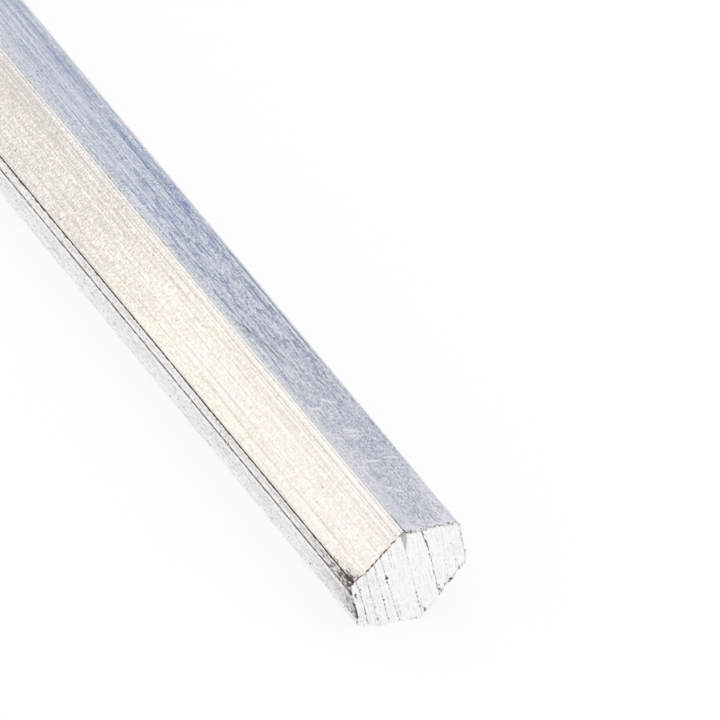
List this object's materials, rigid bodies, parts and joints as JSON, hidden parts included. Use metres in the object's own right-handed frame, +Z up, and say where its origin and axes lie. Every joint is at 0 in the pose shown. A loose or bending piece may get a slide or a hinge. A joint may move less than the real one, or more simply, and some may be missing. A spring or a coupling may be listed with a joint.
{
  "type": "hexagonal bar",
  "caption": "Solid aluminium bar of hexagonal section with rounded long edges and square sawn ends, raw stock for turned and milled parts.",
  "frame": {"origin": "middle of the flat that the bar lies on, half way along its length", "axes": "+X along the bar towards the sawn end that the picture shows, +Z up, +Y across"},
  "size_m": [0.3, 0.0214, 0.019],
  "materials": {
    "mill_aluminium": "mill finish with fine lines along the bar, and sawn ends"
  },
  "bodies": {
    "root": {"hex_bar": "mill_aluminium"}
  },
  "joints": []
}
